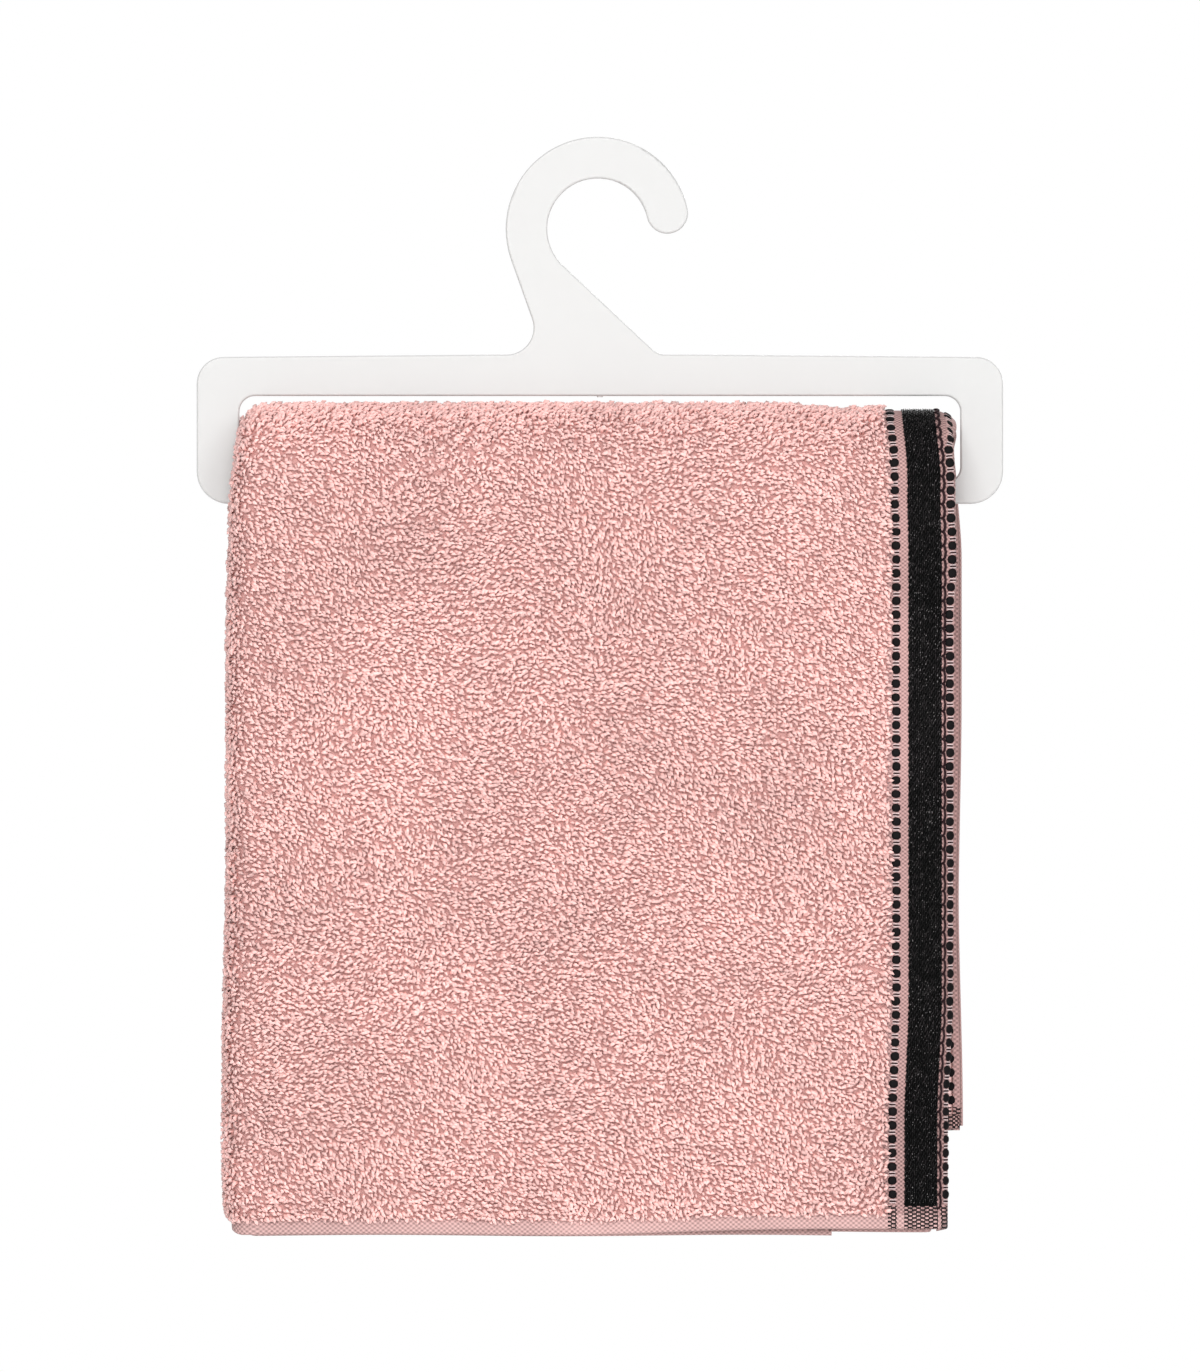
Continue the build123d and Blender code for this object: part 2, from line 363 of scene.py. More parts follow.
class Nodes:
    """A node tree with a short way to add nodes and wire them."""

    def __init__(self, tree):
        self.tree = tree

    def feed(self, target, value):
        """Gives an input a constant, or wires a socket into it."""
        if isinstance(value, bpy.types.NodeSocket):
            self.tree.links.new(value, target)
        else:
            target.default_value = value

    def add(self, kind, inputs=None, **settings):
        """Adds a node. inputs holds a constant or a socket for an input's name or number."""
        node = self.tree.nodes.new(kind)
        for name, value in settings.items():
            setattr(node, name, value)
        for name, value in (inputs or {}).items():
            self.feed(node.inputs[name], value)
        return node

    def maths(self, operation, *values):
        return self.add("ShaderNodeMath", dict(enumerate(values)), operation=operation).outputs[0]

    def vectors(self, operation, first, second):
        inputs = {0: first, "Scale" if operation == "SCALE" else 1: second}
        return self.add("ShaderNodeVectorMath", inputs, operation=operation).outputs[0]

    def split(self, vector):
        return self.add("ShaderNodeSeparateXYZ", {0: vector}).outputs


class Group(Nodes):
    """A node group. Each input or output is a label and a kind, and an input may add its value."""

    def __init__(self, name, kind, inputs, outputs):
        super().__init__(bpy.data.node_groups.new(name, kind))
        for way, sockets in (("INPUT", inputs), ("OUTPUT", outputs)):
            for label, socket_kind, *value in sockets:
                made = self.tree.interface.new_socket(name=label, in_out=way,
                                                      socket_type="NodeSocket" + socket_kind)
                if value:
                    made.default_value = value[0]
        self.entry = self.add("NodeGroupInput")
        self.leave = self.add("NodeGroupOutput")

    def given(self, label):
        return self.entry.outputs[label]

    def result(self, label, value):
        self.feed(self.leave.inputs[label], value)
        return self.tree


# %% [markdown]
# ## Shader groups
# Four effects are used by several yarns and weaves: the twist of a plied yarn, the over-and-under of a
# plain weave, the slight unevenness of dye with a shade input that is a random tone for yarns and
# painted shade between the yarns of a weave, and the black ends that show in a hem. Each is a node
# group that puts out a height, a colour or a mask.

# %% Shader groups
SHADER = "ShaderNodeTree"
DASH_SHARE = 0.6  # how much of each step in the hem is black


def plain_weave_group():
    """Height of a plain weave: ends and picks pass over each other in turn."""
    group = Group("plain_weave", SHADER,
                  [("Vector", "Vector"), ("Ends per metre", "Float", 1400.0),
                   ("Picks per metre", "Float", 1100.0)], [("Height", "Float")])
    place = group.split(group.given("Vector"))
    waves = []
    for axis, name in (("X", "Ends per metre"), ("Y", "Picks per metre")):
        turns = group.maths("MULTIPLY", place[axis], group.given(name))
        waves.append(group.maths("SINE", group.maths("MULTIPLY", turns, math.pi)))
    both = group.maths("MULTIPLY", *waves)
    return group.result("Height", group.maths("MULTIPLY_ADD", both, 0.5))


def yarn_twist_group():
    """Height of a plied yarn's twist, from a UV with one turn round it and its length along it."""
    group = Group("yarn_twist", SHADER, [("Vector", "Vector"), ("Turns", "Float", 5.0)],
                  [("Height", "Float")])
    place = group.split(group.given("Vector"))
    along = group.maths("MULTIPLY", place["Y"], group.given("Turns"))
    phase = group.maths("ADD", along, group.maths("MULTIPLY", place["X"], 2))
    wave = group.maths("SINE", group.maths("MULTIPLY", phase, 2 * math.pi))
    return group.result("Height", group.maths("ABSOLUTE", wave))


def dye_and_shade_group():
    """A colour made a little lighter or darker: by uneven dye in large soft patches, and by its Shade
    input: a random tone for each copy of a yarn, painted glints on the satin floats, and painted shade
    between the yarns of a weave.
    """
    group = Group("uneven_dye", SHADER,
                  [("Color", "Color", (0.7, 0.4, 0.4, 1)), ("Shade", "Float", 0.5),
                   ("Amount", "Float", 0.15)], [("Color", "Color")])
    place = group.add("ShaderNodeTexCoord")
    patches = group.add("ShaderNodeTexNoise",
                        {"Vector": place.outputs["Object"], "Scale": 16.0, "Detail": 2.0})
    total = group.maths("ADD", patches.outputs["Fac"], group.given("Shade"))
    swing = group.maths("MULTIPLY", group.maths("SUBTRACT", total, 1.0), group.given("Amount"))
    scaled = group.vectors("SCALE", group.given("Color"), group.maths("ADD", swing, 1.0))
    return group.result("Color", scaled)


def hem_check_group():
    """1 where the black ends show in the hem: dashes in rows, each row shifted by half a step."""
    group = Group("hem_check", SHADER,
                  [("Vector", "Vector"), ("Zone height", "Float", 0.009), ("Step", "Float", 0.0036),
                   ("Row", "Float", 0.00085)], [("Mask", "Float")])
    place = group.split(group.given("Vector"))
    along, height = place["X"], place["Y"]
    row = group.maths("FLOOR", group.maths("DIVIDE", height, group.given("Row")))
    shift = group.maths("MULTIPLY", group.maths("PINGPONG", row, 1), 0.5)
    steps = group.maths("ADD", group.maths("DIVIDE", along, group.given("Step")), shift)
    dash = group.maths("LESS_THAN", group.maths("FRACT", steps), DASH_SHARE)
    zones = None
    for start, stop in BLACK_ENDS:
        zone = group.maths("MULTIPLY", group.maths("GREATER_THAN", along, start),
                           group.maths("LESS_THAN", along, stop))
        zones = zone if zones is None else group.maths("MAXIMUM", zones, zone)
    low_part = group.maths("LESS_THAN", height, group.given("Zone height"))
    mask = group.maths("MULTIPLY", group.maths("MULTIPLY", dash, zones), low_part)
    return group.result("Mask", mask)


# The black parts of the border, as lengths from the towel's turned end
STRIPE_START = end_strip + 3.8 * MM
STRIPE_END = end_strip + 18.3 * MM
COLUMN_INNER = end_strip + 23.4 * MM
COLUMN_OUTER = end_strip + 0.7 * MM
BEAD = 3.9 * MM
CHECK_HEIGHT = 9.0 * MM
BLACK_ENDS = [(COLUMN_OUTER - BEAD / 2, COLUMN_OUTER + BEAD / 2), (STRIPE_START, STRIPE_END),
              (COLUMN_INNER - BEAD / 2, COLUMN_INNER + BEAD / 2)]

PLAIN_WEAVE = plain_weave_group()
HEM_CHECK = hem_check_group()
YARN_TWIST = yarn_twist_group()
DYE_AND_SHADE = dye_and_shade_group()
print("shader groups:", [g.name for g in (PLAIN_WEAVE, HEM_CHECK, YARN_TWIST, DYE_AND_SHADE)])

# %% [markdown]
# ## Materials
# Cotton scatters light with a faint fuzz, which the sheen of the Principled shader gives. The loops
# and the flat weave share the dye but not the surface. The black yarn is smoother and catches light.

# %% Materials
PINK = (0.785, 0.482, 0.452, 1)
# painted shade: the tint that darkens each loop's colour towards its foot
ROOT_SHADE_TINT = (0.88, 0.66, 0.62, 1)
PINK_WEAVE = (0.44, 0.278, 0.265, 1)
BAND_PINK = (0.345, 0.207, 0.198, 1)
GROUND_PINK = (0.52, 0.28, 0.26, 1)
# painted light: the reverse weave is a much lighter copy of the hem's pink, standing in for light on
# reverse faces that lie in the shade between the leaves
REVERSE_PINK_PAINTED_LIGHT = (0.86, 0.60, 0.58, 1)
PALE = (0.72, 0.57, 0.57, 1)
BLACK = (0.0055, 0.0045, 0.005, 1)
SATIN_BLACK = (0.007, 0.0058, 0.0062, 1)
DEEP_BLACK = (0.0012, 0.0012, 0.0012, 1)
# painted highlight: the colour of the bright glint specks on the satin
PAINTED_GLINT = (0.15, 0.14, 0.14, 1)
MAROON = (0.016, 0.005, 0.007, 1)
WHITE = (1, 1, 1, 1)
HANGER_WHITE = (0.48, 0.478, 0.473, 1)


class Material(Nodes):
    """A material round one Principled shader."""

    def __init__(self, name, roughness, sheen=0, specular=0.5):
        self.material = bpy.data.materials.new(name)
        self.material.use_nodes = True
        super().__init__(self.material.node_tree)
        self.shader = self.tree.nodes["Principled BSDF"]
        self.constants({"Roughness": roughness, "Specular IOR Level": specular,
                        "Sheen Weight": sheen, "Sheen Roughness": 0.5})

    def constants(self, values):
        for label, value in values.items():
            self.shader.inputs[label].default_value = value

    def place(self, group, **values):
        inputs = {label.replace("_", " "): value for label, value in values.items()}
        return self.add("ShaderNodeGroup", inputs, node_tree=group)

    def cloth_uv(self):
        return self.add("ShaderNodeUVMap", uv_map="cloth").outputs["UV"]

    def bump(self, height, distance, strength=1.0):
        node = self.add("ShaderNodeBump",
                        {"Height": height, "Distance": distance, "Strength": strength})
        self.feed(self.shader.inputs["Normal"], node.outputs["Normal"])

    # Shade is a random tone for each yarn copy, which on the satin floats paints glints; for a weave it
    # is the weave's height, which paints shade between the yarns.
    def dye(self, colour, amount, shade=0.5):
        node = self.place(DYE_AND_SHADE, Color=colour, Amount=amount, Shade=shade)
        self.feed(self.shader.inputs["Base Color"], node.outputs["Color"])

    def mix(self, factor, first, second, blend="MIX"):
        """Mixes two colours. In this node the colours are inputs 6 and 7, and output 2."""
        inputs = {0: factor, 6: first, 7: second}
        return self.add("ShaderNodeMix", inputs, data_type="RGBA", blend_type=blend).outputs[2]

    def mix_base(self, factor, colour, blend="MIX"):
        """Mixes a colour over the base colour that is wired already."""
        base = self.shader.inputs["Base Color"]
        self.feed(base, self.mix(factor, base.links[0].from_socket, colour, blend))


def paint_root_shade(made):
    """Painted shade: the loops' colour is darker at their feet, where light comes only through the pile
    around them.
    """
    height = made.split(made.cloth_uv())["Y"]
    rise = made.add("ShaderNodeMapRange", {"Value": height, "From Min": 0.15, "From Max": 0.6})
    made.mix_base(1, made.mix(rise.outputs["Result"], ROOT_SHADE_TINT, WHITE), "MULTIPLY")


def add_painted_glints(made):
    """Painted glints: small bright specks in the colour, where the floats of a satin weave turn over and
    catch the light.
    """
    place = made.add("ShaderNodeTexCoord").outputs["Object"]
    noise = made.add("ShaderNodeTexNoise", {"Vector": place, "Scale": 1500, "Detail": 0})
    speck = made.add("ShaderNodeMapRange",
                     {"Value": noise.outputs["Fac"], "From Min": 0.70, "From Max": 0.78})
    made.mix_base(speck.outputs["Result"], PAINTED_GLINT)


def yarn_material(name, colour, roughness, sheen, turns, dye, specular=0.5, extra=None):
    """Plied yarn with its own UV map round and along it."""
    made = Material(name, roughness, sheen, specular)
    made.dye(colour, dye, made.add("ShaderNodeAttribute", attribute_name="shade").outputs["Fac"])
    twist = made.place(YARN_TWIST, Vector=made.cloth_uv(), Turns=turns)
    made.bump(twist.outputs["Height"], 0.12 * MM, 0.4)
    if extra:
        extra(made)
    return made.material


def weave_material(name, colour, roughness, sheen, ends, picks, dye, specular=0.5, checks=False):
    """Flat plain weave on the cloth's lengths, with painted shade: its colour is darker between the
    yarns.
    """
    made = Material(name, roughness, sheen, specular)
    place = made.cloth_uv()
    weave = made.place(PLAIN_WEAVE, Vector=place, Ends_per_metre=ends, Picks_per_metre=picks)
    # Painted shade: the weave's height is the dye's shade here, so the colour darkens in the hollows
    # between the yarns.
    made.dye(colour, dye, weave.outputs["Height"])
    made.bump(weave.outputs["Height"], 0.2 * MM)
    if checks:
        mask = made.place(HEM_CHECK, Vector=place, Zone_height=CHECK_HEIGHT)
        made.mix_base(mask.outputs["Mask"], BLACK)
    return made.material


terry_yarn = yarn_material("terry_yarn", PINK, 0.85, 0.3, 5.0, 0.34, 0.3, extra=paint_root_shade)
ground_weave = weave_material("ground_weave", GROUND_PINK, 0.9, 0.1, 1370, 1600, 0.25)
hem_weave = weave_material("hem_weave", PINK_WEAVE, 0.85, 0.05, 850, 1000, 0.8, 0.2, checks=True)
band_weave = weave_material("band_weave", BAND_PINK, 0.85, 0.05, 950, 1150, 1.0, 0.2, checks=True)
reverse_weave = weave_material("reverse_weave", REVERSE_PINK_PAINTED_LIGHT, 0.85, 0.05, 850, 1000, 0.5, 0.2,
                               checks=True)
black_satin = weave_material("black_satin", DEEP_BLACK, 0.8, 0, 870, 330, 0.3, 0.05)
black_yarn = yarn_material("black_yarn", BLACK, 0.6, 0, 3.0, 0.4, 0.08)
# satin yarn: painted glints, from the bright specks and from the wide swing of each float's shade
satin_yarn = yarn_material("satin_yarn", SATIN_BLACK, 0.35, 0, 2.0, 1.9, 0.12, extra=add_painted_glints)
pale_yarn = yarn_material("pale_yarn", PALE, 0.8, 0.2, 4.0, 0.1)
maroon_yarn = yarn_material("maroon_yarn", MAROON, 0.7, 0, 8.0, 0.2, 0.15)
print("materials:", len(bpy.data.materials))

# %% [markdown]
# ## Ground cloth
# The cloth itself is thin. It is one grid for the front half and one for the back half.
# Solidify gives it a real thickness.

# %% Ground cloth
GROUND_THICK = 1.2 * MM


def ground_cloth(side):
    name = f"towel_{SIDE_NAMES[side]}_half"
    lengths = np.concatenate([np.linspace(0.3 * MM, end_strip, 9)[:-1],
                              lengths_between(end_strip, cloth_length, 6 * MM)])
    heights = heights_up(0.004, 60, 13)
    obj = cloth_patch(name, lengths, heights, side)
    wall = obj.modifiers.new("wall", "SOLIDIFY")
    wall.thickness = GROUND_THICK
    wall.offset = 0
    baked(obj)
    obj.data.materials.clear()
    obj.data.materials.append(ground_weave)
    print(name, triangles(obj), "triangles")
    return obj


ground = {side: ground_cloth(side) for side in (FRONT, BACK)}

# %% [markdown]
# ## One loop of terry
# A loop is a short yarn that rises, twists on itself and lies over, with its tip back in the pile. It
# hides its own feet, so three segments with three sides are enough. The same mesh is used tens of
# thousands of times, so every face counts.

# %% Loop template


def tube(name, path, radii, sides):
    """A tube along a list of points, with a UV that goes once round and once along."""
    path = np.asarray(path, float)
    tangent = np.gradient(path, axis=0)
    tangent /= np.linalg.norm(tangent, axis=1, keepdims=True)
    across = np.cross(tangent, (0.0, 1.0, 0.15))
    across /= np.linalg.norm(across, axis=1, keepdims=True)
    other = np.cross(tangent, across)
    turns = np.linspace(0, 2 * math.pi, sides + 1)
    rings = [p + r * (np.cos(turns)[:, None] * a + np.sin(turns)[:, None] * b)
             for p, r, a, b in zip(path, radii, across, other)]
    along = np.linspace(0, 1, len(path))
    uv = [(k / sides, t) for t in along for k in range(sides + 1)]
    points = np.concatenate(rings)
    return make_object(name, points, grid_faces(len(path), sides + 1, flip=True), uv)


LOOP_PATH = np.array([(0.0, 0.0, -0.35), (0.05, 0.4, 1.0), (0.0, 1.5, 1.75), (-0.05, 2.45, 1.3)])
LOOP_RADII = np.array([0.50, 0.74, 0.74, 0.2])
loop_template = tube("loop_template", LOOP_PATH * MM, LOOP_RADII * MM, 3)
print("one loop has", triangles(loop_template), "triangles")

# %% [markdown]
# ## The pile tree
# Geometry Nodes spread points over a patch of cloth with a least distance between them, stand a loop
# on each one, and turn its lean with a soft noise, so that neighbours lean alike the way brushed or
# washed terry does. The same noise with a little chance for each loop gives the broken-up look.

# %% Pile tree
GEOMETRY = ("Geometry", "Geometry")


class GeometryTree(Group):
    """A Geometry Nodes tree that ends in real geometry with one material."""

    def __init__(self, name, inputs):
        super().__init__(name, "GeometryNodeTree", [GEOMETRY] + inputs + [("Material", "Material")],
                         [GEOMETRY])

    def chance(self, low_value, high_value, seed=0):
        """A number, or a vector, that differs for each instance."""
        if isinstance(low_value, tuple):
            return self.add("FunctionNodeRandomValue", {0: low_value, 1: high_value, "Seed": seed},
                            data_type="FLOAT_VECTOR").outputs[0]
        return self.add("FunctionNodeRandomValue", {2: low_value, 3: high_value, "Seed": seed},
                        data_type="FLOAT").outputs[1]

    def stand_up(self, normal, heading):
        """A rotation with Z along the normal and Y turned towards the heading."""
        upright = self.add("FunctionNodeAlignRotationToVector", {"Vector": normal}, axis="Z")
        return self.add("FunctionNodeAlignRotationToVector",
                        {"Rotation": upright.outputs[0], "Vector": heading},
                        axis="Y", pivot_axis="Z").outputs[0]

    def turn(self, rotation, angles):
        spin = self.add("FunctionNodeEulerToRotation", {0: angles})
        return self.add("FunctionNodeRotateRotation",
                        {"Rotation": rotation, "Rotate By": spin.outputs[0]},
                        rotation_space="LOCAL").outputs[0]

    def plant(self, points, shape, rotation, scale, shade):
        """Sets the shape on every point, gives each copy its shade, and makes it real."""
        source = self.add("GeometryNodeObjectInfo", {"Object": shape})
        stand = self.add("GeometryNodeInstanceOnPoints",
                         {"Points": points, "Instance": source.outputs["Geometry"],
                          "Rotation": rotation, "Scale": scale})
        named = self.add("GeometryNodeStoreNamedAttribute",
                         {"Geometry": stand.outputs[0], "Name": "shade", "Value": shade},
                         data_type="FLOAT", domain="INSTANCE")
        realized = self.add("GeometryNodeRealizeInstances", {"Geometry": named.outputs[0]})
        painted = self.add("GeometryNodeSetMaterial",
                           {"Geometry": realized.outputs[0], "Material": self.given("Material")})
        return self.result("Geometry", painted.outputs[0])


def pile_tree():
    tree = GeometryTree("terry_pile", [("Loop", "Object"), ("Spacing", "Float"),
                                       ("Lean Patch", "Float"), ("Disorder", "Float"),
                                       ("Size", "Float"), ("Bias", "Vector"), ("Seed", "Int")])
    scatter = tree.add("GeometryNodeDistributePointsOnFaces",
                       {"Mesh": tree.given("Geometry"), "Distance Min": tree.given("Spacing"),
                        "Density Max": 3500000.0, "Seed": tree.given("Seed")},
                       distribute_method="POISSON")
    noise = tree.add("ShaderNodeTexNoise", {"Scale": tree.given("Lean Patch"), "Detail": 2.0})
    centred = tree.vectors("SUBTRACT", noise.outputs["Color"], (0.5, 0.5, 0.5))
    spread = tree.vectors("SCALE", centred, 3.2)
    loose = tree.vectors("SCALE", tree.chance((-1, -1, -1), (1, 1, 1)), tree.given("Disorder"))
    lean = tree.vectors("ADD", tree.vectors("ADD", spread, loose), tree.given("Bias"))
    leaning = tree.stand_up(scatter.outputs["Normal"], lean)
    tumble = tree.chance((-0.25, -0.35, -0.5), (0.65, 0.35, 0.5), seed=3)
    size = tree.maths("MULTIPLY", tree.chance(0.8, 1.25, seed=5), tree.given("Size"))
    return tree.plant(scatter.outputs["Points"], tree.given("Loop"), tree.turn(leaning, tumble),
                      size, tree.chance(0.0, 1.0, seed=9))


PILE_TREE = pile_tree()


def run_tree(obj, group, **values):
    """Runs a tree on an object, with its inputs set by their identifiers, and keeps the result."""
    modifier = obj.modifiers.new(group.name, "NODES")
    modifier.node_group = group
    for item in group.interface.items_tree:
        label = item.name.replace(" ", "_")
        if item.in_out == "INPUT" and label in values:
            modifier[item.identifier] = values[label]
    obj.update_tag()
    return baked(obj)


# %% [markdown]
# ## The loops that are seen
# The outer leaf, the wide fold and the crown carry most of the loops. The front is the densest, and
# the back is set wider apart with larger loops, so that it looks as full with fewer faces.

# %% Pile on the outer face
TERRY_START = end_strip + (band_end - band_start) + 3.3 * MM
OUTER_FOLD_END = RUN_STARTS[2]
LOOP_SPACING = {FRONT: 1.27 * MM, BACK: 1.62 * MM}
GROUND_FACE = GROUND_THICK / 2


def pile_patch(name, lengths, heights, side, spacing, seed, inner_face=False, bias=(0.8, 0, -0.45)):
    out = -GROUND_FACE if inner_face else GROUND_FACE
    obj = cloth_patch(name, lengths, heights, side, out, inner_face)
    run_tree(obj, PILE_TREE, Loop=loop_template, Spacing=spacing, Lean_Patch=22.0, Disorder=0.55,
             Size=(spacing / LOOP_SPACING[FRONT]) ** 0.8, Bias=bias, Seed=seed, Material=terry_yarn)
    print(name, triangles(obj), "triangles")
    return obj


def outer_pile(side, parts):
    """The loops that are seen: front leaf, left fold and crown, in a few upright strips."""
    made = []
    marks = np.linspace(TERRY_START, OUTER_FOLD_END, parts + 1)
    hem_v = (hem_height - 0.3 * MM) / straight_height[side]
    heights = heights_up(hem_v, 50, 11)
    for index in range(parts):
        lengths = lengths_between(marks[index], marks[index + 1], 8 * MM)
        name = f"terry_{SIDE_NAMES[side]}_{index + 1}"
        made.append(pile_patch(name, lengths, heights, side, LOOP_SPACING[side], 11 + index))
    return made


pile = {side: outer_pile(side, parts) for side, parts in ((FRONT, 7), (BACK, 4))}

# %% [markdown]
# ## Hidden loops
# The innermost leaf shows its loops to the bar, and they are seen when a drop is lifted. The small
# fold on the right and the strips just above the hems show from the side and from below.

# %% Pile on the inner leaves


def inner_pile(side):
    name = SIDE_NAMES[side]
    hem_v = (hem_height + 0.5 * MM) / straight_height[side]
    full = heights_up(hem_v, 40, 6, top=1.9)
    strip = np.linspace(hem_v, 3 * hem_v, 4)
    leaf = lengths_between(OUTER_FOLD_END, RUN_STARTS[3], 8 * MM)
    fold = lengths_between(RUN_STARTS[3], RUN_STARTS[4], 8 * MM)
    rest = lengths_between(RUN_STARTS[4], cloth_length - 12 * MM, 8 * MM)
    made = [pile_patch(f"terry_{name}_bar_side", leaf, full, side, 2.7 * MM, 31),
            pile_patch(f"terry_{name}_right_fold", fold, full, side, 1.9 * MM, 33),
            pile_patch(f"terry_{name}_low_outer", rest, strip, side, 2.1 * MM, 35)]
    inner = lengths_between(TERRY_START, cloth_length - 12 * MM, 8 * MM)
    made.append(pile_patch(f"terry_{name}_low_inner", inner, strip, side, 2.1 * MM, 37, inner_face=True))
    return made


for side in (FRONT, BACK):
    pile[side] += inner_pile(side)

# %% [markdown]
# ## Hems
# A hem is the cloth turned over itself, so each edge gets a narrow shell that wraps round it: up one
# face, round the edge, and up the other face. It carries the fine weave, and where the border runs
# into the bottom hem, its black ends show as small dashes.

# %% Hems
HEM_BULGE = 0.5 * MM
REVERSE_SHIFT = 9.3 * MM  # the reverse of the back end strip has its checks further out


def edge_shell(name, side, along, width, kind):
    """Wraps one edge: kind is bottom, turned (the short end that shows) or free (the hidden end)."""
    thick = GROUND_FACE + HEM_BULGE
    turns = np.linspace(0, math.pi, 7)
    flat = np.linspace(width, 0, 4)[:-1]
    rim = [width + 0.4 * MM]
    across = np.concatenate([rim, flat, -thick * np.sin(turns), flat[::-1], rim])
    out = np.concatenate([[0.2 * MM], np.full(3, thick), thick * np.cos(turns),
                          np.full(3, -thick), [-0.2 * MM]])
    steps = np.hypot(np.diff(across), np.diff(out))
    around = width + steps[0] - np.concatenate([[0], np.cumsum(steps)])
    inner_rows = slice(-5, None)  # the rows of the shell that lie on the inner face
    if kind == "turned" and side == BACK:
        around[inner_rows] = across[inner_rows] + REVERSE_SHIFT
    if kind == "bottom":
        s, height = np.meshgrid(along, across)
        raised = np.broadcast_to(out[:, None], s.shape)
        v = height / straight_height[side]
        uv = np.stack(np.meshgrid(along, around), axis=-1)
        if side == BACK:
            uv[inner_rows, :, 0] += REVERSE_SHIFT
    else:
        lengths = across if kind == "turned" else cloth_length - across
        s, v = np.meshgrid(lengths, along)
        raised = np.broadcast_to(out[None, :], s.shape)
        uv = np.stack(np.meshgrid(around if kind == "turned" else cloth_length - around,
                                  v_to_height(along, side)), axis=-1)
    points = drape_points(s, v, side, raised)
    rows, columns = s.shape
    flip = (side == FRONT) != (kind != "turned")
    obj = make_object(name, points.reshape(-1, 3), grid_faces(rows, columns, flip), uv.reshape(-1, 2))
    obj.data.materials.append(hem_weave)
    obj.data.materials.append(reverse_weave)
    if kind == "turned" and side == BACK:
        for polygon in obj.data.polygons:
            # faces that look forward get the lighter reverse weave: painted light on the shaded back
            # strip
            polygon.material_index = int(polygon.normal.y < -0.4)
    return obj


def hems(side):
    name = SIDE_NAMES[side]
    along_edge = lengths_between(0.2 * MM, cloth_length - 1.0 * MM, 5 * MM)
    up_edge = heights_up(0.003, 60, 14)
    return [edge_shell(f"side_hem_{name}", side, along_edge, hem_height, "bottom"),
            edge_shell(f"turned_end_{name}", side, up_edge, end_strip - 0.6 * MM, "turned"),
            edge_shell(f"free_end_{name}", side, up_edge, 11.5 * MM, "free")]


def border_band(side):
    """The flat-woven band that the black yarns lie on."""
    lengths = np.linspace(end_strip - 1.0 * MM, TERRY_START + 0.8 * MM, 24)
    hem_v = (hem_height - 0.5 * MM) / straight_height[side]
    heights = heights_up(hem_v, 70, 14)
    face = border_patch(f"border_band_{SIDE_NAMES[side]}", lengths, heights, side, 1, band_weave)
    # The border's reverse gets the lighter reverse weave: painted light for faces in the shade between
    # the leaves.
    lengths = np.linspace(0.5 * MM, TERRY_START - 2 * MM, 34)
    reverse = border_patch(f"border_reverse_{SIDE_NAMES[side]}", lengths, heights, side, -1,
                           reverse_weave)
    if side == BACK:
        for corner in reverse.data.uv_layers["cloth"].uv:
            corner.vector.x += REVERSE_SHIFT
    return [face, reverse]


def border_patch(name, lengths, heights, side, face, material):
    """A thin patch on the outer face (1) or on the inner face (-1)."""
    obj = cloth_patch(name, lengths, heights, side, face * (GROUND_FACE + 0.12 * MM), face < 0)
    obj.data.materials.append(material)
    return obj


trim = {side: hems(side) + border_band(side) for side in (FRONT, BACK)}
print("hem and band pieces:", [obj.name for obj in trim[FRONT]])

# %% [markdown]
# ## Border yarns
# Between the two rows of beads runs a satin stripe of black yarn that floats over the weave in short
# strokes. One edge of it is caught by thin arcs. Each kind of stroke is one small mesh, and a second
# tree sets it along the border with the place, the outward direction and the size of every stroke.

# %% Row tree


def row_tree():
    tree = GeometryTree("border_row", [("Shape", "Object"), ("Wobble", "Float"), ("Seed", "Int")])
    out, up, size = [tree.add("GeometryNodeInputNamedAttribute", {"Name": label},
                              data_type="FLOAT_VECTOR").outputs[0] for label in ("out", "up", "size")]
    points = tree.add("GeometryNodeMeshToPoints", {"Mesh": tree.given("Geometry")})
    angle = tree.maths("MULTIPLY", tree.chance(-1.0, 1.0, tree.given("Seed")), tree.given("Wobble"))
    tilt = tree.add("ShaderNodeCombineXYZ", {"Z": angle})
    # Painted glints on the satin floats: the cube of a random number leaves most copies as they are and
    # makes a few much lighter; other rows get a random tone of their own.
    shade = tree.maths("POWER", tree.chance(0.0, 1.0, seed=4), 3.0)
    return tree.plant(points.outputs[0], tree.given("Shape"),
                      tree.turn(tree.stand_up(out, up), tilt.outputs[0]), size, shade)


ROW_TREE = row_tree()


